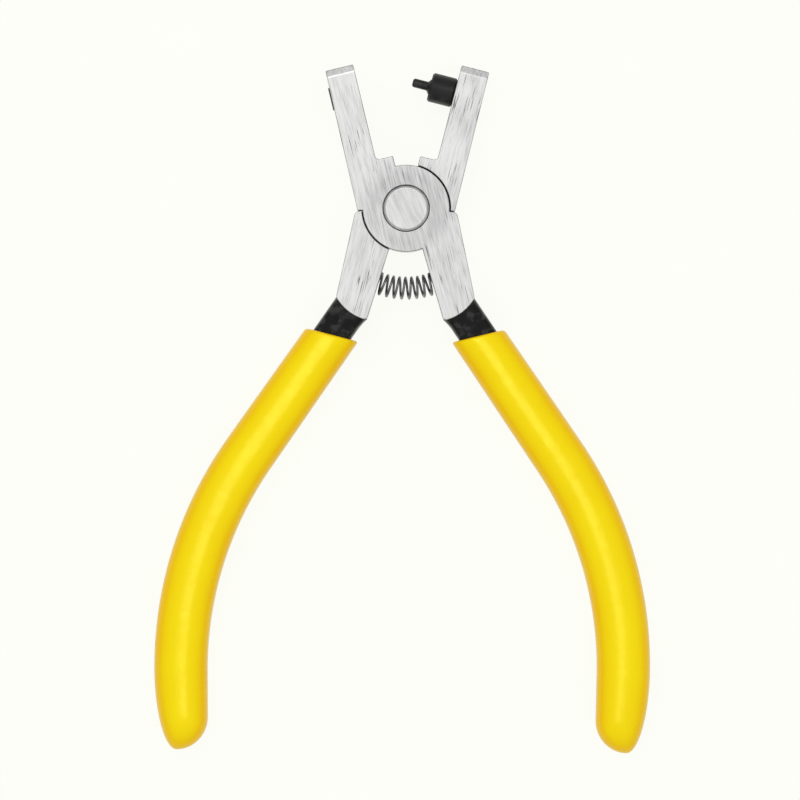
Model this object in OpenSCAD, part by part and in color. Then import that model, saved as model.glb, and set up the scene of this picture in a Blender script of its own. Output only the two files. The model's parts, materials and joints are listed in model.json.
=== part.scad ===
// Small lap-joint setting pliers with a pin punch, a die bush, a return spring and dipped grips.
// The tool lies on its back. X is to the right, Y points towards the jaws and Z towards the viewer.
// The origin is on the pivot axis, at the back face. Each lever is drawn with the jaws closed and
// parallel, then turned about the pivot to its open rest position.

/* [Head] */
// Thickness of the head, across both laps
head_t = 9; // [8:0.5:11]
// Radius of the round lap around the pivot
lap_r = 8.7; // [8.4:0.1:9]
// Angle between the jaws at rest
open_angle = 28; // [24:0.2:30]

/* [Jaws] */
// Distance from the pivot to the jaw tips
jaw_l = 30.5; // [28:0.1:34]
// Gap between the jaws' inner edges when closed
jaw_gap = 7.2; // [6.4:0.2:8]
// Distance from the pivot to the shoulder under the jaw gap
shoulder_y = 10.8; // [10.4:0.1:11.4]
// Length of the bevel on each face at the jaw tip
tip_bevel_l = 1.4; // [0.8:0.1:2]
// Depth of that bevel
tip_bevel_d = 0.6; // [0.4:0.1:1.4]

/* [Pivot] */
// Diameter of the rivet's flush heads
rivet_head_d = 9.2; // [8:0.1:10]
// Diameter of the rivet's shaft
rivet_shaft_d = 6.4; // [5:0.2:7]
// Thickness of each rivet head
rivet_head_t = 1.6; // [1.2:0.1:2.2]
// Radial running clearance of the rivet in the front lever
rivet_fit = 0.05; // [0.02:0.01:0.1]

/* [Punch and die] */
// Distance from the pivot to the punch axis
punch_y = 24.9; // [22:0.1:26.5]
// Diameter of the punch holder
holder_d = 5.9; // [5:0.1:6.6]
// Height of the punch holder above the jaw
holder_h = 5.1; // [4:0.1:5.4]
// Diameter of the punch pin
pin_d = 1.8; // [1.2:0.1:2]
// Length of the punch pin outside its holder
pin_l = 3.6; // [2.8:0.1:3.8]
// Diameter of the die bush
bush_d = 4.6; // [4:0.1:5.4]
// Diameter of the bore in the die bush
bush_bore_d = 2.5; // [2.4:0.1:3]

/* [Return spring] */
// Outer diameter of the coil
spring_d = 4.7; // [4:0.1:5.4]
// Diameter of the spring wire
wire_d = 0.5; // [0.4:0.05:0.6]
// Distance from the pivot to the coil's curved axis
spring_r = 15.9; // [15.4:0.1:17]
// Number of turns
spring_turns = 13; // [10:1:15]

/* [Handles] */
// Width of the tang, seen from the front
tang_w = 7.1; // [6:0.1:7.2]
// Thickness of the tang
tang_t = 6; // [5.4:0.1:6.4]
// Lean of the tang away from the centre line, jaws closed
tang_lean = 20.5; // [18:0.5:22]
// Length of the straight stretch of the handle
run_l = 29.4; // [26:0.2:32]
// Radius of the handle's bow
bow_r = 75; // [70:1:80]
// Angle that the bow turns through
bow_angle = 35.5; // [32:0.5:38]
// Length of the straight end of the handle
end_l = 15.6; // [13:0.2:17]

/* [Grips] */
// Width of a grip at its mouth
grip_mouth_w = 10.2; // [9.6:0.1:11]
// Width of a grip at its belly
grip_belly_w = 10.8; // [10:0.1:11.6]
// Thickness of a grip
grip_t = 8.8; // [8.2:0.1:8.8]
// Width of a grip just before its domed end
grip_end_w = 10.6; // [9.6:0.1:11.6]
// Height of the flat mouth of a grip, below the pivot
grip_mouth_y = 28.2; // [27:0.2:30]
// Length over which the outer side of a grip rounds in to its tip
dome_out_l = 16; // [8:0.5:18]
// Length over which the inner side and both faces round in
dome_in_l = 6.5; // [5:0.1:8]
// Distance of a grip's tip from its centre line, to the outside
tip_out = 1; // [0:0.1:1.5]

/* [Hidden] */
$fn = 72;

half_open = open_angle / 2;
mid_z = head_t / 2;
cut_past = 1;                                // how far a cutting solid runs past a face

// Head
lap_gap = 0.05;                              // from the middle plane to each lap face
lap_clear_r = lap_r + 0.2;
stop_gap = 0.12;                             // from the centre line to a jaw's stop face
jaw_in = jaw_gap / 2;
jaw_out_tip = 9.3;
jaw_out_root = 9.6;
jaw_end_angle = 169.1;                       // where the full-thickness jaw ends, about the pivot
shoulder_fillet = 0.8;

// Ground part of the shank below the pivot
shank_corner_c = [8.5, -4];                  // centre of the rounded corner beside the lap
shank_corner_r = 1.2;
shank_corner_from = 72;
shank_corner_to = -1;
shank_in_top = [1.26, -8];                   // inside the lap's circle
shank_in_low = [2.02, -23.25];
ground_c = [2.5, -14.7];                     // centre of the arc where the ground face ends
ground_r = 8.9;
ground_arc_from = -41.5;
ground_arc_to = -89;

// Rivet
rivet_rim = 0.5;                             // width of the bevelled rim of a rivet head
rivet_rim_d = 0.3;

// Punch and die
stud_d = 3.2;
stud_l = 4.4;
holder_chamfer = 0.35;
collar_d = 3;
collar_l = 0.7;
pin_seat_l = 2.6;
pin_tip_r = 0.5;
bush_proud = 0.25;                           // how far the bush stands out behind the jaw

// Spring
pocket_depth = 3.9;
pocket_d = spring_d + 0.5;
shank_in_lean = (shank_in_low.x - shank_in_top.x) / (shank_in_top.y - shank_in_low.y);
pocket_x = shank_in_top.x + shank_in_lean * (shank_in_top.y + spring_r);
pocket_angle = asin(pocket_x / spring_r);    // of a pocket's mouth from the centre line, jaws closed
pocket_sweep = pocket_depth / spring_r * 180 / PI;
spring_short = 2.2;                          // degrees between a spring end and its pocket's floor
spring_half_angle = half_open + pocket_angle + pocket_sweep - spring_short;

// Handle centre line, in the plane of the tool
tang_in = 7.4;                               // how far the tang runs back into the ground shank
tang_stop = 7;                               // from the tang's end to the grip's tip
flare_from = -6.5;                           // where the tang's inner side is widest
flare_l = 3;
flare_w = 0.38;
flare_steps = 5;
bow_steps = 14;
handle_start = [8, -28];
bow_l = bow_r * bow_angle * PI / 180;
handle_l = run_l + bow_l + end_l;
bow_start = handle_start + run_l * along(tang_lean);
bow_c = bow_start - bow_r * across(tang_lean);
bow_end = bow_c + bow_r * across(tang_lean - bow_angle);

// Grip surface
grip_sides = 24;
grip_step = 3.4;
grip_squareness = 2.5;                       // exponent of the grip's rounded section
mouth_fade_l = 9;                            // over which the slanted mouth turns square to the grip
belly_at = 58;
dome_rings = 7;

// Spring surface
wire_sides = 6;
steps_per_turn = 14;

// Unit vectors along a handle that leans by the angle a, and across it to the outside
function along(a) = [sin(a), -cos(a)];
function across(a) = [cos(a), sin(a)];

// Points on an arc
function arc(c, r, from, to, steps) =
    [for (i = [0:steps]) let (a = from + (to - from) * i / steps) c + r * [cos(a), sin(a)]];

// The handle's lean and its centre at the distance s from its start
function lean_at(s) = tang_lean - min(max(s - run_l, 0), bow_l) / bow_l * bow_angle;
function centre_at(s) =
    s < run_l ? handle_start + s * along(tang_lean)
    : s < run_l + bow_l ? bow_c + bow_r * across(lean_at(s))
    : bow_end + (s - run_l - bow_l) * along(tang_lean - bow_angle);

// How much wider the tang's inner side is where it meets the corner of the ground face
function flare(s) = s < flare_from ? 0 : flare_w * pow(max(1 - (s - flare_from) / flare_l, 0), 2);

// Half width of the grip, before its domed end
function grip_half_w(s) =
    s < belly_at ? (grip_mouth_w + (grip_belly_w - grip_mouth_w) * sin(90 * s / belly_at)) / 2
    : (grip_belly_w + (grip_end_w - grip_belly_w) * pow((s - belly_at) / (handle_l - belly_at), 2)) / 2;

// How much an end that is domed over the length l has narrowed at the distance s
function dome(s, l) = s < handle_l - l ? 1 : sqrt(max(1 - pow((s - handle_l + l) / l, 2), 0));

// One point of the grip's section, as [across, up], with a half width of 1
function section(a) =
    let (p = 2 / grip_squareness)
    [sign(cos(a)) * pow(abs(cos(a)), p), sign(sin(a)) * pow(abs(sin(a)), p)];

// One ring of the grip; near the mouth its points slide along the handle, so that the mouth is level
function grip_ring(s) =
    let (
        fade = max(1 - s / mouth_fade_l, 0),
        w = grip_half_w(s),
        outer = tip_out + (w - tip_out) * dome(s, dome_out_l),
        inner = tip_out - (w + tip_out) * dome(s, dome_in_l),
        t = grip_t / 2 * dome(s, dome_in_l)
    )
    [for (i = [0:grip_sides - 1])
        let (
            q = section(360 * i / grip_sides),
            off = (outer + inner) / 2 + q.x * (outer - inner) / 2,
            at = s + fade * off * tan(tang_lean),
            p = centre_at(at) + off * across(lean_at(at))
        )
        [p.x, p.y, mid_z + q.y * t]];

// Faces of a closed skin over rings of equal size
function skin_faces(rings, sides) = concat(
    [[for (i = [0:sides - 1]) i]],
    [[for (i = [0:sides - 1]) (rings - 1) * sides + sides - 1 - i]],
    [for (r = [0:rings - 2]) for (i = [0:sides - 1])
        let (a = r * sides + i, b = r * sides + (i + 1) % sides)
        each [[a, a + sides, b], [b, a + sides, b + sides]]]
);

// Turns the front lever's half into its rest position
module front_half() {
    rotate([0, 0, half_open]) children();
}

// The rear lever is the same forging, turned over about the Y axis
module rear_half() {
    rotate([0, 0, -half_open]) translate([0, 0, head_t]) rotate([0, 180, 0]) children();
}

// Points a solid of revolution along X at the height of the punch, its base on a jaw's inner edge
module on_punch_axis() {
    translate([-jaw_in, punch_y, mid_z]) rotate([0, 90, 0]) children();
}

// Plan of the jaw, down to the pivot
module jaw_plan() {
    fillet_c = [-jaw_in + shoulder_fillet, shoulder_y + shoulder_fillet];
    end_dir = [cos(jaw_end_angle), sin(jaw_end_angle)];
    polygon(concat(
        [[-jaw_out_tip, jaw_l], [-jaw_in, jaw_l]],
        arc(fillet_c, shoulder_fillet, 180, 270, 6),
        [[-stop_gap, shoulder_y], [-stop_gap, 0], -jaw_out_root / end_dir.x * end_dir]
    ));
}

// Plan of the ground part of the shank, from the pivot to the arc where the black forging starts
module shank_plan() {
    polygon(concat(
        [[0, 0]],
        arc(shank_corner_c, shank_corner_r, shank_corner_from, shank_corner_to, 6),
        arc(ground_c, ground_r, ground_arc_from, ground_arc_to, 12),
        [shank_in_low, shank_in_top]
    ));
}

// The whole tang: straight, bowed, then straight again inside the grip
module tang() {
    stations = concat(
        [-tang_in],
        [for (i = [0:flare_steps]) flare_from + flare_l * i / flare_steps],
        [for (i = [0:bow_steps]) run_l + bow_l * i / bow_steps],
        [handle_l - tang_stop]
    );
    outer = [for (s = stations) centre_at(s) + tang_w / 2 * across(lean_at(s))];
    inner = [for (s = stations) centre_at(s) - (tang_w / 2 + flare(s)) * across(lean_at(s))];
    last = len(stations) - 1;
    translate([0, 0, mid_z - tang_t / 2]) linear_extrude(tang_t)
        polygon(concat(outer, [for (i = [0:last]) inner[last - i]]));
}

// Bevels on both faces of the jaw tip
module tip_bevels() {
    bevel_angle = atan(tip_bevel_d / tip_bevel_l);
    for (face = [0, 1]) {
        translate([0, jaw_l, mid_z]) mirror([0, 0, face]) translate([0, -tip_bevel_l, mid_z])
            rotate([-bevel_angle, 0, 0]) translate([-jaw_out_root - cut_past, -cut_past, 0])
                cube([jaw_out_root + 2 * cut_past, 3 * tip_bevel_l, 2 * tip_bevel_d]);
    }
}

// Blind pocket for one end of the spring, square to the shank
module spring_pocket() {
    mid_angle = pocket_angle + pocket_sweep / 2;
    mouth = spring_r * [sin(mid_angle), -cos(mid_angle)];
    translate([mouth.x, mouth.y, mid_z]) rotate([0, 0, mid_angle]) rotate([0, 90, 0])
        translate([0, 0, -pocket_depth / 2 - cut_past]) cylinder(d = pocket_d, h = pocket_depth + cut_past);
}

// One lever with its lap in the upper layer; fit is the clearance around the rivet
module lever(fit) {
    difference() {
        union() {
            difference() {
                linear_extrude(head_t) {
                    jaw_plan();
                    shank_plan();
                }
                translate([0, 0, -cut_past]) cylinder(r = lap_clear_r, h = mid_z + lap_gap + cut_past);
            }
            translate([0, 0, mid_z + lap_gap]) cylinder(r = lap_r, h = mid_z - lap_gap);
            tang();
        }
        cylinder(d = rivet_shaft_d + 2 * fit, h = head_t + cut_past);
        translate([0, 0, head_t - rivet_head_t - fit])
            cylinder(d = rivet_head_d + 2 * fit, h = rivet_head_t + cut_past);
        tip_bevels();
        spring_pocket();
    }
}

// Left jaw and right handle; the jaw is bored through for the die bush
module front_lever() {
    color("silver") front_half() difference() {
        lever(rivet_fit);
        on_punch_axis() translate([0, 0, -jaw_out_root]) cylinder(d = bush_d, h = 2 * jaw_out_root);
    }
}

// Right jaw and left handle; the jaw has a blind hole for the punch's stud
module rear_lever() {
    color("silver") rear_half() difference() {
        lever(0);
        on_punch_axis() translate([0, 0, -stud_l]) cylinder(d = stud_d, h = stud_l + cut_past);
    }
}

// Shouldered rivet, fixed in the rear lever and flush on both faces
module pivot_rivet() {
    head_r = rivet_head_d / 2;
    shaft_r = rivet_shaft_d / 2;
    color("gainsboro") rotate_extrude() polygon([
        [0, 0], [head_r - rivet_rim, 0], [head_r, rivet_rim_d], [head_r, rivet_head_t],
        [shaft_r, rivet_head_t], [shaft_r, head_t - rivet_head_t],
        [head_r, head_t - rivet_head_t], [head_r, head_t - rivet_rim_d],
        [head_r - rivet_rim, head_t], [0, head_t]
    ]);
}

// Coil spring bent around the pivot, its ends in the two pockets
module return_spring() {
    steps = spring_turns * steps_per_turn;
    coil_r = (spring_d - wire_d) / 2;
    points = [for (i = [0:steps])
        let (
            phi = spring_half_angle * (2 * i / steps - 1),
            psi = 360 * i / steps_per_turn,
            out = [sin(phi), -cos(phi), 0],
            coil_out = cos(psi) * out + [0, 0, sin(psi)]
        )
        for (k = [0:wire_sides - 1])
            let (b = 360 * k / wire_sides)
            spring_r * out + [0, 0, mid_z] + (coil_r + wire_d / 2 * cos(b)) * coil_out
                + wire_d / 2 * sin(b) * [cos(phi), sin(phi), 0]];
    color("dimgray") polyhedron(points, skin_faces(steps + 1, wire_sides));
}

// Dipped grip over the tang
module grip() {
    body_rings = ceil((handle_l - dome_in_l) / grip_step);
    mouth_s = (grip_mouth_y + handle_start.y) / cos(tang_lean);
    body_l = handle_l - dome_in_l - mouth_s;
    distances = concat(
        [for (i = [0:body_rings]) mouth_s + body_l * i / body_rings],
        [for (i = [1:dome_rings]) handle_l - dome_in_l + dome_in_l * sin(86 * i / dome_rings)]
    );
    points = [for (s = distances) each grip_ring(s)];
    color("gold") difference() {
        polyhedron(points, skin_faces(len(distances), grip_sides));
        tang();
    }
}

module left_grip() {
    rear_half() grip();
}

module right_grip() {
    front_half() grip();
}

// Turned punch holder with its stud in the right jaw and a seat for the pin
module punch_holder() {
    r = holder_d / 2;
    color("dimgray") rear_half() on_punch_axis() difference() {
        rotate_extrude() polygon([
            [0, -stud_l], [stud_d / 2, -stud_l], [stud_d / 2, 0], [r - holder_chamfer, 0],
            [r, holder_chamfer], [r, holder_h - holder_chamfer], [r - holder_chamfer, holder_h], [0, holder_h]
        ]);
        translate([0, 0, holder_h - pin_seat_l]) cylinder(d = pin_d, h = pin_seat_l + cut_past);
    }
}

// Replaceable pin, pressed into the holder up to its collar
module punch_pin() {
    r = pin_d / 2;
    tip_c = [r - pin_tip_r, holder_h + pin_l - pin_tip_r];
    color("dimgray") rear_half() on_punch_axis() rotate_extrude() polygon(concat(
        [[0, holder_h - pin_seat_l], [r, holder_h - pin_seat_l], [r, holder_h], [collar_d / 2, holder_h]],
        [[r, holder_h + collar_l]],
        arc(tip_c, pin_tip_r, 0, 90, 5),
        [[0, holder_h + pin_l]]
    ));
}

// Hardened bush through the left jaw, facing the punch
module die_bush() {
    r = bush_d / 2;
    bore_r = bush_bore_d / 2;
    root_y = jaw_out_root * tan(180 - jaw_end_angle);
    jaw_out = jaw_out_tip + (jaw_out_root - jaw_out_tip) * (jaw_l - punch_y) / (jaw_l - root_y);
    bush_l = jaw_out - jaw_in + bush_proud;
    color("dimgray") front_half() on_punch_axis() rotate_extrude() polygon([
        [bore_r, -bush_l], [r, -bush_l], [r, 0], [bore_r + 0.2, 0], [bore_r, -0.2]
    ]);
}

front_lever();
rear_lever();
pivot_rivet();
return_spring();
left_grip();
right_grip();
punch_holder();
punch_pin();
die_bush();
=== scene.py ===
import json
import math

import bmesh
import bpy
from mathutils import Matrix, Vector

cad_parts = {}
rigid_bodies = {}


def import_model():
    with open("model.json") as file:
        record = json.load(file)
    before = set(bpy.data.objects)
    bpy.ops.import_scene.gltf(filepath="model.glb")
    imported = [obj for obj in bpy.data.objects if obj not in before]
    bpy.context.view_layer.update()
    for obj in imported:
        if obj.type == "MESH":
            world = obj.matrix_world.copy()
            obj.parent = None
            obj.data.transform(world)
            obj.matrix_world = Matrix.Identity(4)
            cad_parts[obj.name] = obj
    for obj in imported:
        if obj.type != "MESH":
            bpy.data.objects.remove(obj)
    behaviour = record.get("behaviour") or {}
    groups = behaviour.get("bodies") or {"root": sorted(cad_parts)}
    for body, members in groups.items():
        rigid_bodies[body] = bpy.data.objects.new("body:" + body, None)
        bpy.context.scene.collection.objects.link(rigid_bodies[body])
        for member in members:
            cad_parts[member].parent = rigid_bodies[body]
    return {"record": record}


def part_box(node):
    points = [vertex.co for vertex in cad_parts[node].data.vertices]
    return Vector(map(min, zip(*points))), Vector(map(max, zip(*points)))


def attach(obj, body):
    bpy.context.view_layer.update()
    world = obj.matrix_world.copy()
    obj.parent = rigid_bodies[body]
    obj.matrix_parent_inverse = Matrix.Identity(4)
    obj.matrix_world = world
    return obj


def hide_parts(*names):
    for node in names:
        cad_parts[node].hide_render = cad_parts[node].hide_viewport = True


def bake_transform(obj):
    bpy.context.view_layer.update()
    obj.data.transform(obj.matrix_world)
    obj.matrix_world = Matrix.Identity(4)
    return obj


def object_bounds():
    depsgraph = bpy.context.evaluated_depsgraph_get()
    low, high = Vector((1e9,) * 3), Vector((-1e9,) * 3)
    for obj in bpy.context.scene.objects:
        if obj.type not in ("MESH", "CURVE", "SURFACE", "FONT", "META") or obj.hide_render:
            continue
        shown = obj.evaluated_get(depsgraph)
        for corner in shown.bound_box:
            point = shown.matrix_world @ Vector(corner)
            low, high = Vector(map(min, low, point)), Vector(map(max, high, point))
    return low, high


# Small lap-joint setting pliers, lying on their back on a pale table and seen from straight above.
# Each half is built in its lever's own frame, in millimetres with the jaws closed, and is then
# placed in the row frame, in metres, with the same turn that the CAD model gives it.

for leftover in list(bpy.data.objects):
    bpy.data.objects.remove(leftover)
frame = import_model()
cad_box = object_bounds()

MM = 0.001

# ---------------------------------------------------------------- sizes that the frame gives
lever_low, lever_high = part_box("front_lever")
rivet_low, rivet_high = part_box("pivot_rivet")
punch_mount = next(m for m in frame["record"]["mounts"] if m["name"] == "punch_pin")
punch_axis = Vector(punch_mount["axis"])
head_t = (lever_high.z - lever_low.z) / MM
mid_z = head_t / 2
half_open = math.atan2(punch_axis.y, -punch_axis.x)
rivet_r = (rivet_high.x - rivet_low.x) / 2 / MM
grip_low, grip_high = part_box("right_grip")
grip_t = (grip_high.z - grip_low.z) / MM
bush_low, bush_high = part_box("die_bush")
bush_r = (bush_high.z - bush_low.z) / 2 / MM
holder_low, holder_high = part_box("punch_holder")
holder_r = (holder_high.z - holder_low.z) / 2 / MM
pin_r = punch_mount["dims"]["r_mm"]

# ---------------------------------------------------------------- sizes of the head, in millimetres
cut_past = 1.0               # how far a cutting tool runs past a face
edge_round = 0.2

lap_r = 8.7                  # the round lap about the pivot
lap_clear_r = 8.9            # the room that the other lever leaves round it
lap_gap = 0.05               # from the middle plane to each lap face
stop_gap = 0.12              # from the centre line to a jaw's stop face
jaw_l = 30.5                 # from the pivot to the jaw tips
jaw_in = 3.6                 # from the centre line to a jaw's inner edge
jaw_out_tip = 9.3            # from the centre line to its outer edge, at the tip and at the root
jaw_out_root = 9.6
jaw_end_angle = 169.1        # where the full-thickness jaw ends, about the pivot
shoulder_y = 10.8            # from the pivot to the shoulder under the jaw gap
shoulder_fillet = 0.8
tip_bevel_l = 1.4            # the bevel on each face at the jaw tip
tip_bevel_d = 0.6

shank_corner_c = (8.5, -4)   # the rounded corner beside the lap
shank_corner_r = 1.2
shank_corner = (72, -1)
shank_in_top = (1.26, -8)    # ends of the inner edge; the top one is inside the lap's circle
shank_in_low = (2.02, -23.25)
ground_c = (2.5, -14.7)      # the arc where the ground face ends
ground_r = 8.9
ground_arc = (-41.5, -89)

rivet_shaft_r = 3.2
rivet_head_t = 1.6
rivet_fit = 0.05
rivet_rim = 0.5              # the bevelled rim of a rivet head
rivet_rim_d = 0.3

# ---------------------------------------------------------------- sizes of the punch, die and spring
punch_y = 24.9               # from the pivot to the punch axis
holder_h = 5.1
holder_chamfer = 0.35
stud_r = 1.6
stud_l = 4.4
collar_r = 1.5
collar_l = 0.7
collar_edge = 0.12           # height of the collar's straight edge
collar_curve = 1.8           # exponent of the hollow between collar and pin
pin_l = 3.6
pin_seat_l = 2.6
pin_tip_r = 0.5
bush_bore_r = 1.25
bush_chamfer = 0.15
bush_lead_in = 0.2
bush_proud = 0.25            # how far the bush stands out behind the jaw

spring_r = 15.9              # from the pivot to the coil's curved axis
spring_coil_r = 2.1
wire_r = 0.25
spring_turns = 13
pocket_r = 2.6
pocket_depth = 3.9
spring_short = 2.2           # degrees between a spring end and its pocket's floor

# ---------------------------------------------------------------- sizes of the handle and grip
handle_start = Vector((8.0, -28.0))
tang_lean = 20.5             # lean away from the centre line, jaws closed
tang_half_w = 3.55
tang_half_t = 3.0
tang_squareness = 5.0        # exponent of the tang's rounded section
tang_in = 7.4                # how far the tang runs back into the ground shank
tang_stop = 7.0              # from the tang's end to the grip's tip
flare_from = -6.5            # where the tang's inner side is widest
flare_l = 3.0
flare_w = 0.38
forging_step_down = 0.32     # from the ground face to the forging beside it
forging_over_tang = 0.1      # how far each face of the forging stands above the plain tang
forging_thins = (-6.6, 2.0)  # the stretch over which it thins
parting_ridge = 0.09         # height and half thickness of the ridge that the forging dies leave
parting_ridge_half_t = 0.5
run_l = 29.4                 # the straight stretch of the handle
bow_r = 75.0
bow_angle = 35.5
end_l = 15.6                 # the straight end of the handle
bow_l = bow_r * math.radians(bow_angle)
handle_l = run_l + bow_l + end_l

grip_mouth_w = 10.2
grip_belly_w = 10.8
grip_end_w = 10.6            # just before the domed end
grip_mouth_y = 28.2          # from the pivot down to the flat mouth
grip_squareness = 2.5        # exponent of the grip's rounded section
belly_at = 58.0
mouth_fade_l = 9.0           # over which the slanted mouth turns square to the grip
mouth_round = 0.55
dome_out_l = 16.0            # over which the outer side rounds in to the tip
dome_in_l = 6.5              # over which the inner side and both faces round in
dome_sweep = 88.5            # degrees of the dome's quarter turn that get a ring; the last ring is capped
tip_out = 1.0                # from the centre line to the tip, to the outside
grip_on_tang = 0.04          # how far the grip's cavity bites into the tang's sides


# ---------------------------------------------------------------- the handle's centre line
def along(lean):
    a = math.radians(lean)
    return Vector((math.sin(a), -math.cos(a)))


def across(lean):
    a = math.radians(lean)
    return Vector((math.cos(a), math.sin(a)))


bow_c = handle_start + run_l * along(tang_lean) - bow_r * across(tang_lean)
bow_end = bow_c + bow_r * across(tang_lean - bow_angle)


def lean_at(s):
    return tang_lean - min(max(s - run_l, 0), bow_l) / bow_l * bow_angle


def centre_at(s):
    if s < run_l:
        return handle_start + s * along(tang_lean)
    if s < run_l + bow_l:
        return bow_c + bow_r * across(lean_at(s))
    return bow_end + (s - run_l - bow_l) * along(tang_lean - bow_angle)


def smooth_step(a, b, x):
    t = min(max((x - a) / (b - a), 0.0), 1.0)
    return t * t * (3 - 2 * t)


# ---------------------------------------------------------------- mesh helpers
def new_object(name, verts, faces):
    mesh = bpy.data.meshes.new(name)
    mesh.from_pydata([tuple(v) for v in verts], [], faces)
    obj = bpy.data.objects.new(name, mesh)
    bpy.context.scene.collection.objects.link(obj)
    bm = bmesh.new()
    bm.from_mesh(mesh)
    bmesh.ops.recalc_face_normals(bm, faces=bm.faces)
    bm.to_mesh(mesh)
    bm.free()
    return obj


def arc(centre, r, start, stop, steps):
    """Points on an arc, its angles in degrees."""
    angles = [math.radians(start + (stop - start) * i / steps) for i in range(steps + 1)]
    return [(centre[0] + r * math.cos(a), centre[1] + r * math.sin(a)) for a in angles]


def prism(outline, z0, z1):
    """A flat outline drawn up from z0 to z1."""
    n = len(outline)
    verts = [(x, y, z0) for x, y in outline] + [(x, y, z1) for x, y in outline]
    sides = [(i, (i + 1) % n, n + (i + 1) % n, n + i) for i in range(n)]
    return new_object("prism", verts, [tuple(range(n)), tuple(range(n, 2 * n))] + sides)


def disc(r, z0, z1, steps=144):
    return prism(arc((0, 0), r, 0, 360 * (steps - 1) / steps, steps - 1), z0, z1)


def rod(r, start, direction, length, steps=64):
    """A cylinder that begins at start and runs along direction."""
    obj = disc(r, 0, length, steps)
    turn = Vector((0, 0, 1)).rotation_difference(Vector(direction)).to_matrix().to_4x4()
    obj.data.transform(Matrix.Translation(start) @ turn)
    return obj


def skin(rings):
    """Faces over rings of equal size, closed at both ends."""
    n = len(rings[0])
    verts = [v for ring in rings for v in ring]
    faces = []
    for r in range(len(rings) - 1):
        for i in range(n):
            j = (i + 1) % n
            faces.append((r * n + i, r * n + j, (r + 1) * n + j, (r + 1) * n + i))
    faces.append(tuple(range(n)))
    faces.append(tuple(range((len(rings) - 1) * n, len(rings) * n)))
    return verts, faces


def lathe(name, profile, steps=96):
    """Turns a profile of (radius, height) points about Z; points on the axis close it."""
    verts, faces, rows = [], [], []
    for r, h in profile:
        if r < 1e-6:
            rows.append([len(verts)])
            verts.append((0, 0, h))
        else:
            rows.append(list(range(len(verts), len(verts) + steps)))
            verts += [(*p, h) for p in arc((0, 0), r, 0, 360 * (steps - 1) / steps, steps - 1)]
    if profile[0][0] > 1e-6:
        rows.append(rows[0])
    for a, b in zip(rows, rows[1:]):
        for i in range(steps):
            j = (i + 1) % steps
            quad = [a[i % len(a)], a[j % len(a)], b[j % len(b)], b[i % len(b)]]
            faces.append(tuple(dict.fromkeys(quad)))
    return new_object(name, verts, faces)


def bake_modifiers(obj):
    """Replaces the object's mesh with what its modifiers make of it."""
    graph = bpy.context.evaluated_depsgraph_get()
    mesh = bpy.data.meshes.new_from_object(obj.evaluated_get(graph))
    obj.modifiers.clear()
    obj.data = mesh


def combine(obj, tool, operation):
    """Adds the tool's solid to the object or takes it away, and uses the tool up."""
    modifier = obj.modifiers.new(operation.lower(), "BOOLEAN")
    modifier.operation = operation
    modifier.solver = "EXACT"
    modifier.object = tool
    bake_modifiers(obj)
    bpy.data.objects.remove(tool)


def round_edges(obj, width, segments=3, angle=20):
    """Merges flat faces, then rounds every edge sharper than the angle."""
    bm = bmesh.new()
    bm.from_mesh(obj.data)
    bmesh.ops.remove_doubles(bm, verts=bm.verts, dist=1e-4)
    bmesh.ops.dissolve_limit(bm, angle_limit=math.radians(0.4), verts=bm.verts, edges=bm.edges)
    bm.to_mesh(obj.data)
    bm.free()
    for polygon in obj.data.polygons:
        polygon.use_smooth = True
    bevel = obj.modifiers.new("round", "BEVEL")
    bevel.width = width
    bevel.segments = segments
    bevel.limit_method = "ANGLE"
    bevel.angle_limit = math.radians(angle)
    bevel.use_clamp_overlap = False
    bevel.harden_normals = True
    bake_modifiers(obj)
    return obj


def place(obj, name, turned_over):
    """Puts a piece of one half, built in its lever's own millimetres, into the row frame."""
    obj.name = name
    obj.data.name = name
    turn = Matrix.Rotation(-half_open if turned_over else half_open, 4, "Z")
    if turned_over:
        turn = turn @ Matrix.Translation((0, 0, head_t)) @ Matrix.Rotation(math.pi, 4, "Y")
    obj.data.transform(Matrix.Scale(MM, 4) @ turn)
    return obj


def finish_piece(obj, body, node, material):
    obj.data.materials.clear()
    obj.data.materials.append(material)
    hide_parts(node)
    if body:
        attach(obj, body)


# ---------------------------------------------------------------- levers
def jaw_plan():
    """Outline of the jaw above the pivot."""
    fillet_c = (-jaw_in + shoulder_fillet, shoulder_y + shoulder_fillet)
    end = math.radians(jaw_end_angle)
    jaw_end = (-jaw_out_root, -jaw_out_root * math.tan(end))
    return (
        [(-jaw_out_tip, jaw_l), (-jaw_in, jaw_l)]
        + arc(fillet_c, shoulder_fillet, 180, 270, 8)
        + [(-stop_gap, shoulder_y), (-stop_gap, 0), jaw_end]
    )


def shank_plan():
    """Outline of the ground part of the shank below the pivot."""
    return (
        [(0, 0)]
        + arc(shank_corner_c, shank_corner_r, *shank_corner, 10)
        + arc(ground_c, ground_r, *ground_arc, 20)
        + [shank_in_low, shank_in_top]
    )


def tip_wedge(side):
    """The corner that a face's bevel takes off the jaw tip; side is 1 for the front face."""
    y0, y1 = jaw_l - tip_bevel_l, jaw_l + cut_past
    slope = tip_bevel_d / tip_bevel_l
    z0, z1 = side * mid_z, side * (mid_z - slope * (y1 - y0))
    top = side * (mid_z + cut_past)
    x0, x1 = -jaw_out_root - cut_past, -jaw_in + cut_past
    start = y0 - cut_past
    z_start = side * (mid_z + slope * cut_past)
    section = [(start, z_start), (y0, z0), (y1, z1), (y1, top + side), (start, top + side)]
    verts = [(x, y, mid_z + z) for x in (x0, x1) for y, z in section]
    n = len(section)
    sides = [(i, (i + 1) % n, n + (i + 1) % n, n + i) for i in range(n)]
    return new_object("wedge", verts, [tuple(range(n)), tuple(range(n, 2 * n))] + sides)


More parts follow.
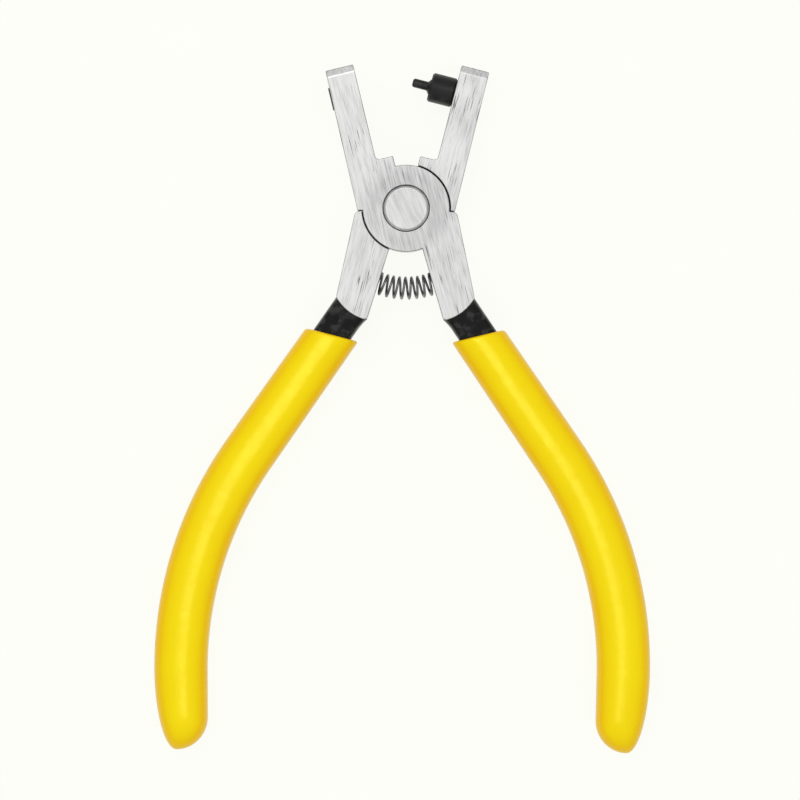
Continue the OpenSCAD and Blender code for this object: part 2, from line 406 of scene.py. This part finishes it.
def pocket_middle():
    """Angle from the centre line to the middle of a spring pocket, jaws closed, in degrees."""
    lean = (shank_in_low[0] - shank_in_top[0]) / (shank_in_top[1] - shank_in_low[1])
    mouth_x = shank_in_top[0] + lean * (shank_in_top[1] + spring_r)
    return math.degrees(math.asin(mouth_x / spring_r) + pocket_depth / spring_r / 2)


def spring_pocket():
    a = math.radians(pocket_middle())
    direction = Vector((math.cos(a), math.sin(a), 0))
    middle = Vector((spring_r * math.sin(a), -spring_r * math.cos(a), mid_z))
    start = middle - direction * (pocket_depth / 2 + cut_past)
    return rod(pocket_r, start, direction, pocket_depth + cut_past)


def lever_head(fit, bore):
    """The ground part of a lever; fit is the rivet's clearance, and bore cuts the hole in its jaw."""
    head = prism(jaw_plan(), 0, head_t)
    combine(head, prism(shank_plan(), 0, head_t), "UNION")
    combine(head, disc(lap_clear_r, -cut_past, mid_z + lap_gap), "DIFFERENCE")
    combine(head, disc(lap_r, mid_z + lap_gap, head_t), "UNION")
    combine(head, disc(rivet_shaft_r + fit, 0, head_t + cut_past), "DIFFERENCE")
    head_seat = head_t - rivet_head_t - fit
    combine(head, disc(rivet_r + fit, head_seat, head_t + cut_past), "DIFFERENCE")
    combine(head, tip_wedge(1), "DIFFERENCE")
    combine(head, tip_wedge(-1), "DIFFERENCE")
    combine(head, spring_pocket(), "DIFFERENCE")
    combine(head, bore, "DIFFERENCE")
    return round_edges(head, edge_round)


def superellipse(half_w, half_t, power, sides):
    """A rounded rectangle: an ellipse at a power of 2, and squarer above that."""
    points = []
    for i in range(sides):
        a = 2 * math.pi * i / sides
        c, s = math.cos(a), math.sin(a)
        x = math.copysign(abs(c) ** (2 / power), c)
        z = math.copysign(abs(s) ** (2 / power), s)
        points.append((half_w * x, half_t * z))
    return points


def handle_ring(s, half_w, half_t, power, sides, level=0.0, ridge=0.0, shift=0.0):
    """A ring across the handle; level slides it along the handle until it is square to Y."""
    ring = []
    for off, z in superellipse(half_w, half_t, power, sides):
        off += shift
        if ridge and abs(z) < parting_ridge_half_t:
            off += math.copysign(ridge * (1 - (z / parting_ridge_half_t) ** 2), off)
        at = s + level * off * math.tan(math.radians(tang_lean))
        p = centre_at(at) + off * across(lean_at(at))
        ring.append((p.x, p.y, mid_z + z))
    return ring


def flare(s):
    """How much wider the tang's inner side is where it meets the corner of the ground face."""
    return 0 if s < flare_from else flare_w * max(1 - (s - flare_from) / flare_l, 0) ** 2


def shank_forging():
    """The black forging: it leaves the ground head almost as thick, and thins towards the grip."""
    fine_rings, fine_step = 25, 0.5
    coarse_start, coarse_rings = 5, 31
    coarse_step = (handle_l - tang_stop - coarse_start) / (coarse_rings - 1)
    stations = [-tang_in + fine_step * i for i in range(fine_rings)]
    stations += [coarse_start + coarse_step * i for i in range(coarse_rings)]
    thick, thin = mid_z - forging_step_down, tang_half_t + forging_over_tang
    rings = []
    for s in stations:
        late = smooth_step(*forging_thins, s)
        half_t = thick * (1 - late) + thin * late
        half_w, shift = tang_half_w + flare(s) / 2, -flare(s) / 2
        rings.append(handle_ring(s, half_w, half_t, tang_squareness, 96, ridge=parting_ridge, shift=shift))
    return new_object("forging", *skin(rings))


# ---------------------------------------------------------------- grips
def grip_half_w(s):
    """Half width of the grip, before its domed end."""
    if s < belly_at:
        swell = math.sin(math.pi / 2 * s / belly_at)
        return (grip_mouth_w + (grip_belly_w - grip_mouth_w) * swell) / 2
    late = (s - belly_at) / (handle_l - belly_at)
    return (grip_belly_w + (grip_end_w - grip_belly_w) * late**2) / 2


def dome(s, length):
    """How much an end that is domed over this length has narrowed at the distance s."""
    return math.sqrt(max(1 - (max(s - handle_l + length, 0) / length) ** 2, 0))


def grip_ring(s, sides, level):
    """A ring of the grip's body; the outer side rounds in over a longer stretch than the inner one."""
    w = grip_half_w(s)
    outer = tip_out + (w - tip_out) * dome(s, dome_out_l)
    inner = tip_out - (w + tip_out) * dome(s, dome_in_l)
    half_t = grip_t / 2 * dome(s, dome_in_l)
    half_w, shift = (outer - inner) / 2, (outer + inner) / 2
    return handle_ring(s, half_w, half_t, grip_squareness, sides, level, shift=shift)


def grip_skin():
    """One skin: up the cavity round the tang, over the rounded mouth, and down the body to the tip."""
    sides, cavity_rings, mouth_rings, body_rings, dome_rings = 64, 40, 6, 80, 16
    mouth_at = (grip_mouth_y + handle_start.y) / math.cos(math.radians(tang_lean))
    cavity_l = handle_l - tang_stop - mouth_at
    cavity_half_w = tang_half_w - grip_on_tang
    rings = []
    for i in range(cavity_rings, -1, -1):
        s = mouth_at + cavity_l * i / cavity_rings
        level = max(1 - s / mouth_fade_l, 0)
        rings.append(handle_ring(s, cavity_half_w, tang_half_t, tang_squareness, sides, level))
    for i in range(mouth_rings + 1):
        a = math.pi / 2 * i / mouth_rings
        inset = mouth_round * (1 - math.sin(a))
        s = mouth_at + mouth_round * (1 - math.cos(a))
        half_w, half_t = grip_half_w(s) - inset, grip_t / 2 - inset
        rings.append(handle_ring(s, half_w, half_t, grip_squareness, sides, 1.0))
    body_start = mouth_at + mouth_round
    body_l = handle_l - dome_in_l - body_start
    for i in range(1, body_rings + 1):
        s = body_start + body_l * i / body_rings
        rings.append(grip_ring(s, sides, max(1 - (s - body_start) / mouth_fade_l, 0)))
    for i in range(1, dome_rings + 1):
        s = handle_l - dome_in_l + dome_in_l * math.sin(math.radians(dome_sweep * i / dome_rings))
        rings.append(grip_ring(s, sides, 0))
    grip = new_object("grip", *skin(rings))
    for polygon in grip.data.polygons:
        polygon.use_smooth = True
    return grip


# ---------------------------------------------------------------- turned pieces
def on_punch_axis(obj):
    """Lays a turned piece along the punch axis, its base on the jaw's inner edge."""
    turn = Matrix.Rotation(math.pi / 2, 4, "Y")
    obj.data.transform(Matrix.Translation((-jaw_in, punch_y, mid_z)) @ turn)
    return obj


def rivet():
    """Shaft with two flush heads, turned about the pivot axis from back to front."""
    r, rim, t = rivet_r, rivet_r - rivet_rim, head_t
    profile = [
        (0, 0), (rim, 0), (r, rivet_rim_d), (r, rivet_head_t), (rivet_shaft_r, rivet_head_t),
        (rivet_shaft_r, t - rivet_head_t), (r, t - rivet_head_t), (r, t - rivet_rim_d), (rim, t), (0, t),
    ]
    return round_edges(lathe("rivet", profile, 120), 0.07, 3, 20)


def punch_holder():
    """Turned body with a stud behind it and the pin's seat in front."""
    r, c, h = holder_r, holder_chamfer, holder_h
    profile = [
        (0, -stud_l), (stud_r, -stud_l), (stud_r, 0), (r - c, 0), (r, c), (r, h - c), (r - c, h),
        (pin_r, h), (pin_r, h - pin_seat_l), (0, h - pin_seat_l),
    ]
    return round_edges(on_punch_axis(lathe("holder", profile)), 0.06, 2, 20)


def punch_pin():
    """Pin with a hollow-sided collar where it leaves the holder, and a rounded tip."""
    h = holder_h
    profile = [(0, h - pin_seat_l), (pin_r, h - pin_seat_l), (pin_r, h), (collar_r, h)]
    collar_steps = 8
    for i in range(collar_steps + 1):
        t = i / collar_steps
        r = pin_r + (collar_r - pin_r) * (1 - t) ** collar_curve
        profile.append((r, h + collar_edge + (collar_l - collar_edge) * t))
    profile += arc((pin_r - pin_tip_r, h + pin_l - pin_tip_r), pin_tip_r, 0, 90, 8)
    profile.append((0, h + pin_l))
    return round_edges(on_punch_axis(lathe("pin", profile, 64)), 0.03, 2, 30)


def die_bush():
    """Bored insert that fills the jaw and stands a little proud of its outer edge."""
    r, b = bush_r, bush_bore_r
    root_y = -jaw_out_root * math.tan(math.radians(jaw_end_angle))
    jaw_out = jaw_out_tip + (jaw_out_root - jaw_out_tip) * (jaw_l - punch_y) / (jaw_l - root_y)
    back = -(jaw_out - jaw_in + bush_proud)
    profile = [
        (b, back + bush_chamfer), (b + bush_chamfer, back), (r, back),
        (r, 0), (b + bush_lead_in, 0), (b, -bush_lead_in),
    ]
    return round_edges(on_punch_axis(lathe("bush", profile)), 0.05, 2, 20)


def return_spring():
    """Coil bent round the pivot, built in the row frame at rest, and where its two ends are."""
    sides, per_turn = 12, 28
    steps = spring_turns * per_turn
    pocket_sweep = math.degrees(pocket_depth / spring_r)
    half = math.degrees(half_open) + pocket_middle() + pocket_sweep / 2 - spring_short
    lift = Vector((0, 0, mid_z))
    rings = []
    for i in range(steps + 1):
        phi = math.radians(half * (2 * i / steps - 1))
        psi = 2 * math.pi * i / per_turn
        out = Vector((math.sin(phi), -math.cos(phi), 0))
        forward = Vector((math.cos(phi), math.sin(phi), 0))
        coil_out = math.cos(psi) * out + math.sin(psi) * Vector((0, 0, 1))
        centre = spring_r * out + lift + spring_coil_r * coil_out
        rings.append([
            centre + wire_r * (math.cos(b) * coil_out + math.sin(b) * forward)
            for b in [2 * math.pi * k / sides for k in range(sides)]
        ])
    coil = new_object("return_spring_coil", *skin(rings))
    coil.data.transform(Matrix.Scale(MM, 4))
    for polygon in coil.data.polygons:
        polygon.use_smooth = True
    ends = [
        MM * (spring_r * Vector((math.sin(a), -math.cos(a), 0)) + lift)
        for a in (-math.radians(half), math.radians(half))
    ]
    return coil, ends


# ---------------------------------------------------------------- materials
class Shader:
    """A Principled material with a few short cuts for procedural nodes in object space."""

    def __init__(self, name, **values):
        self.material = bpy.data.materials.new(name)
        self.material.use_nodes = True
        self.nodes = self.material.node_tree.nodes
        self.links = self.material.node_tree.links
        self.surface = self.nodes["Principled BSDF"]
        for key, value in values.items():
            self.surface.inputs[key.replace("_", " ")].default_value = value

    def noise(self, size, turn=0.0, detail=4.0, rough=0.55):
        """Noise whose features measure size, in metres, in axes turned about Z."""
        coords = self.nodes.new("ShaderNodeTexCoord")
        mapping = self.nodes.new("ShaderNodeMapping")
        mapping.vector_type = "TEXTURE"
        mapping.inputs["Rotation"].default_value = (0, 0, turn)
        mapping.inputs["Scale"].default_value = size
        noise = self.nodes.new("ShaderNodeTexNoise")
        noise.inputs["Scale"].default_value = 1.0
        noise.inputs["Detail"].default_value = detail
        noise.inputs["Roughness"].default_value = rough
        self.links.new(coords.outputs["Object"], mapping.inputs["Vector"])
        self.links.new(mapping.outputs["Vector"], noise.inputs["Vector"])
        return noise.outputs["Fac"]

    def upward(self):
        """How far the surface faces up or down, from 0 on its sides to 1."""
        geometry = self.nodes.new("ShaderNodeNewGeometry")
        split = self.nodes.new("ShaderNodeSeparateXYZ")
        size = self.nodes.new("ShaderNodeMath")
        size.operation = "ABSOLUTE"
        self.links.new(geometry.outputs["Normal"], split.inputs["Vector"])
        self.links.new(split.outputs["Z"], size.inputs[0])
        return size.outputs[0]

    def from_pivot(self):
        """Distance from the pivot axis, in metres."""
        coords = self.nodes.new("ShaderNodeTexCoord")
        flat = self.nodes.new("ShaderNodeVectorMath")
        flat.operation = "MULTIPLY"
        flat.inputs[1].default_value = (1, 1, 0)
        length = self.nodes.new("ShaderNodeVectorMath")
        length.operation = "LENGTH"
        self.links.new(coords.outputs["Object"], flat.inputs[0])
        self.links.new(flat.outputs["Vector"], length.inputs[0])
        return length.outputs["Value"]

    def spread(self, source, low, high, start=0.3, stop=0.7):
        """Maps a source that runs from start to stop onto low to high, and holds it there beyond."""
        node = self.nodes.new("ShaderNodeMapRange")
        node.inputs["From Min"].default_value = start
        node.inputs["From Max"].default_value = stop
        node.inputs["To Min"].default_value = low
        node.inputs["To Max"].default_value = high
        self.links.new(source, node.inputs["Value"])
        return node.outputs["Result"]

    def ramp(self, source, *stops):
        """Colours by the source; each stop is its position and its colour."""
        node = self.nodes.new("ShaderNodeValToRGB")
        while len(node.color_ramp.elements) < len(stops):
            node.color_ramp.elements.new(0.5)
        for element, (position, colour) in zip(node.color_ramp.elements, stops):
            element.position = position
            element.color = (*colour, 1)
        self.links.new(source, node.inputs["Fac"])
        return node.outputs["Color"]

    def blend(self, factor, a, b):
        """The colour a where the factor is 0, and b where it is 1."""
        node = self.nodes.new("ShaderNodeMix")
        node.data_type = "RGBA"
        for name, source in (("Factor", factor), ("A", a), ("B", b)):
            self.links.new(source, node.inputs[name])
        return node.outputs["Result"]

    def chain(self, operation, sources):
        """Joins the first two sources by a sum of this kind, then the result and the next one."""
        total = sources[0]
        for source in sources[1:]:
            node = self.nodes.new("ShaderNodeMath")
            node.operation = operation
            self.links.new(total, node.inputs[0])
            self.links.new(source, node.inputs[1])
            total = node.outputs[0]
        return total

    def add(self, *sources):
        return self.chain("ADD", sources)

    def multiply(self, *sources):
        return self.chain("MULTIPLY", sources)

    def bump(self, height, distance, strength=1.0):
        node = self.nodes.new("ShaderNodeBump")
        node.inputs["Strength"].default_value = strength
        node.inputs["Distance"].default_value = distance
        self.links.new(height, node.inputs["Height"])
        self.links.new(node.outputs["Normal"], self.surface.inputs["Normal"])

    def set(self, socket, source):
        """Links a source to a socket of the surface."""
        self.links.new(source, self.surface.inputs[socket])


def ground_steel(name, turn, lap_tone):
    """Satin steel, ground at an angle of turn, with patches of scratches, painted shade on its bevelled
    edges and a toned lap.
    """
    m = Shader(name, Metallic=1.0)
    lines = m.noise((0.00016, 0.004, 0.00016), turn, 3)
    streaks = m.noise((0.0006, 0.008, 0.0006), turn, 5, 0.6)
    mottle = m.noise((0.006, 0.011, 0.006), turn, 3)
    scratches = m.spread(m.noise((0.00018, 0.0065, 0.00018), turn, 1), 0, 1, 0.58, 0.68)
    patches = m.spread(m.noise((0.003, 0.009, 0.003), turn, 2), 0, -0.55, 0.48, 0.56)
    faces = m.spread(m.upward(), 0.35, 1, 0, 1)
    beyond_lap = m.spread(m.from_pivot(), 0, 1, 0.007, 0.010)
    # Painted shade: surfaces that face partly up, the bevels and roundings of the edges, are darkened;
    # upright sides and flat faces are not
    edges = m.ramp(m.upward(), (0.1, (0,) * 3), (0.35, (1,) * 3), (0.8, (1,) * 3), (0.9, (0,) * 3))
    tone = m.add(
        m.spread(lines, -0.14, 0.14), m.spread(streaks, -0.14, 0.14), m.spread(mottle, 0.42, 0.58),
        m.spread(beyond_lap, lap_tone, 0, 0, 1), m.spread(edges, 0, -0.3, 0, 1),
        m.multiply(scratches, patches, beyond_lap, faces),
    )
    nick, dark, middle, pale = (0.14,) * 3, (0.43,) * 3, (0.64, 0.64, 0.635), (0.76,) * 3
    m.set("Base Color", m.ramp(tone, (0, nick), (0.2, dark), (0.5, middle), (0.8, pale)))
    grind = m.add(m.spread(lines, 0, 0.5), m.spread(streaks, 0, 0.5))
    m.set("Roughness", m.spread(grind, 0.3, 0.46, 0, 1))
    m.bump(m.add(m.spread(lines, 0, 0.6), m.spread(streaks, 0, 0.4)), 0.00001, 0.6)
    return m.material


def black_oxide(name, wear_and_glint_size, sheen):
    """Blackened steel: nearly black and fine-grained, greyer and smoother where it is worn; its greyer
    spots are partly wear and partly painted glints.
    """
    m = Shader(name, Specular_IOR_Level=sheen)
    grain = m.noise((0.00025,) * 3, 0, 4, 0.6)
    wear_and_glints = m.noise((wear_and_glint_size,) * 3, 0, 4, 0.5)
    # Painted highlight: the lighter spots of this noise are partly wear and partly painted glints
    m.set("Base Color", m.ramp(wear_and_glints, (0.36, (0.001,) * 3), (0.5, (0.004,) * 3), (0.63, (0.03,) * 3)))
    rubbed = m.add(m.spread(grain, 0, 0.4), m.spread(wear_and_glints, 0.6, 0))
    m.set("Roughness", m.spread(rubbed, 0.26, 0.5, 0, 1))
    m.bump(m.add(m.spread(grain, 0, 0.3), m.spread(wear_and_glints, 0, 0.7)), 0.00008, 0.5)
    return m.material


def yellow_vinyl(name):
    """Glossy dipped vinyl: a slightly uneven skin, with painted shade that makes its sides more orange and
    darker than its top.
    """
    m = Shader(name, Specular_IOR_Level=0.5, Specular_Tint=(1.0, 0.86, 0.2, 1.0))
    cloud = m.noise((0.010,) * 3, 0, 3)
    fine = m.noise((0.0016,) * 3, 0, 3)
    top = m.ramp(cloud, (0.3, (0.83, 0.63, 0.0)), (0.7, (0.84, 0.67, 0.0)))
    # Painted shade: the side colour is more orange and darker than the top, and is blended in by how far
    # the surface faces up
    side = m.ramp(cloud, (0.3, (0.83, 0.49, 0.0)), (0.7, (0.83, 0.53, 0.0)))
    m.set("Base Color", m.blend(m.spread(m.upward(), 0, 1, 0.7, 1.0), side, top))
    m.set("Roughness", m.spread(fine, 0.2, 0.27))
    m.bump(m.add(m.spread(cloud, 0, 0.8), m.spread(fine, 0, 0.2)), 0.00012, 0.5)
    return m.material


def wire_steel(name):
    """Dark drawn wire, a little blotchy."""
    m = Shader(name, Metallic=1.0)
    drawn = m.noise((0.0004, 0.0004, 0.0004), 0, 4)
    m.set("Base Color", m.ramp(drawn, (0.3, (0.13, 0.13, 0.14)), (0.7, (0.26, 0.26, 0.27))))
    m.set("Roughness", m.spread(drawn, 0.22, 0.36))
    m.bump(drawn, 0.00001, 0.4)
    return m.material


def light_table(name):
    """Pale table lit from below, so that little shadow falls on it."""
    m = Shader(name, Roughness=0.7, Specular_IOR_Level=0.1)
    m.surface.inputs["Emission Color"].default_value = (0.99, 1.0, 0.945, 1)
    m.surface.inputs["Emission Strength"].default_value = 0.93
    cloud = m.noise((0.02,) * 3, 0, 3)
    m.set("Base Color", m.ramp(cloud, (0.3, (0.055, 0.055, 0.053)), (0.7, (0.065, 0.065, 0.063))))
    return m.material


front_steel = ground_steel("front_ground_steel", half_open, -0.16)
rear_steel = ground_steel("rear_ground_steel", -half_open, -0.16)
rivet_steel = ground_steel("rivet_ground_steel", math.radians(24), -0.01)
forging_oxide = black_oxide("forging_oxide", 0.0018, 0.18)
turned_oxide = black_oxide("turned_oxide", 0.0050, 0.34)
vinyl = yellow_vinyl("yellow_vinyl")
wire = wire_steel("spring_wire")

# ---------------------------------------------------------------- pieces
bush_hole = rod(bush_r, (-jaw_in + cut_past, punch_y, mid_z), (-1, 0, 0), jaw_out_root)
front_head = place(lever_head(rivet_fit, bush_hole), "front_lever_head", False)
finish_piece(front_head, "front_half", "front_lever", front_steel)

stud_hole = rod(stud_r, (-jaw_in + cut_past, punch_y, mid_z), (-1, 0, 0), stud_l + cut_past)
rear_head = place(lever_head(0, stud_hole), "rear_lever_head", True)
finish_piece(rear_head, "rear_half", "rear_lever", rear_steel)

for side, body, turned_over in (("front", "front_half", False), ("rear", "rear_half", True)):
    forging = place(round_edges(shank_forging(), 0.2, 2, 60), side + "_lever_shank", turned_over)
    finish_piece(forging, body, side + "_lever", forging_oxide)

for side, body, turned_over in (("right", "front_half", False), ("left", "rear_half", True)):
    grip = place(grip_skin(), side + "_grip_skin", turned_over)
    finish_piece(grip, body, side + "_grip", vinyl)

turned_rivet = rivet()
turned_rivet.name = "pivot_rivet_turned"
turned_rivet.data.transform(Matrix.Scale(MM, 4))
finish_piece(turned_rivet, "rear_half", "pivot_rivet", rivet_steel)

holder = place(punch_holder(), "punch_holder_turned", True)
finish_piece(holder, "rear_half", "punch_holder", turned_oxide)
pin = place(punch_pin(), "punch_pin_turned", True)
finish_piece(pin, "rear_half", "punch_pin", turned_oxide)
bush = place(die_bush(), "die_bush_turned", False)
finish_piece(bush, "front_half", "die_bush", turned_oxide)

spring, spring_ends = return_spring()
finish_piece(spring, None, "return_spring", wire)
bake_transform(spring)

# ---------------------------------------------------------------- table, camera and light
box_low, box_high = cad_box
middle = (box_low + box_high) / 2

half_table = 1.2
corners = [(-1, -1), (1, -1), (1, 1), (-1, 1)]
table = new_object("table", [(x * half_table, y * half_table, 0) for x, y in corners], [(0, 1, 2, 3)])
table.data.materials.append(light_table("light_table"))

view_width = 0.160
aim = Vector((middle.x - 0.0009, middle.y + 0.0017))
camera_roll = math.radians(0.5)
camera_data = bpy.data.cameras.new("camera")
camera_data.lens = 300
camera_data.sensor_width = 36
camera = bpy.data.objects.new("camera", camera_data)
bpy.context.scene.collection.objects.link(camera)
camera_height = view_width * camera_data.lens / camera_data.sensor_width
camera.location = (aim.x, aim.y, box_high.z + camera_height)
camera.rotation_euler = (0, 0, camera_roll)
bpy.context.scene.camera = camera


def area_light(name, location, size, power):
    """A rectangular light that points at the middle of the object."""
    data = bpy.data.lights.new(name, "AREA")
    data.shape = "RECTANGLE"
    data.size, data.size_y = size
    data.energy = power
    light = bpy.data.objects.new(name, data)
    bpy.context.scene.collection.objects.link(light)
    light.location = location
    light.rotation_euler = (middle - Vector(location)).to_track_quat("-Z", "Y").to_euler()
    return light


# A soft key light above the jaws' side of the table, and a wide panel overhead that shines on the
# grips alone, so that it leaves a highlight along each of them
area_light("key", (-0.14, 0.34, 0.80), (0.30, 0.30), 0.9)
panel = area_light("grip_strip", (middle.x - 0.08, middle.y + 0.11, 1.6), (0.26, 0.56), 3.9)
glossy_pieces = bpy.data.collections.new("glossy_pieces")
for grip_name in ("left_grip_skin", "right_grip_skin"):
    glossy_pieces.objects.link(bpy.data.objects[grip_name])
panel.light_linking.receiver_collection = glossy_pieces

# A white tent, brightest overhead and less than half as bright at the horizon
horizon_light, zenith_light = 0.42, 1.04
world = bpy.data.worlds.new("studio")
bpy.context.scene.world = world
world.use_nodes = True
sky = world.node_tree
direction = sky.nodes.new("ShaderNodeTexCoord")
split = sky.nodes.new("ShaderNodeSeparateXYZ")
height = sky.nodes.new("ShaderNodeMapRange")
height.inputs["To Min"].default_value = horizon_light
height.inputs["To Max"].default_value = zenith_light
sky.links.new(direction.outputs["Generated"], split.inputs["Vector"])
sky.links.new(split.outputs["Z"], height.inputs["Value"])
sky.links.new(height.outputs["Result"], sky.nodes["Background"].inputs["Strength"])
sky.nodes["Background"].inputs["Color"].default_value = (1, 1, 1, 1)
bpy.context.scene.view_settings.view_transform = "Standard"
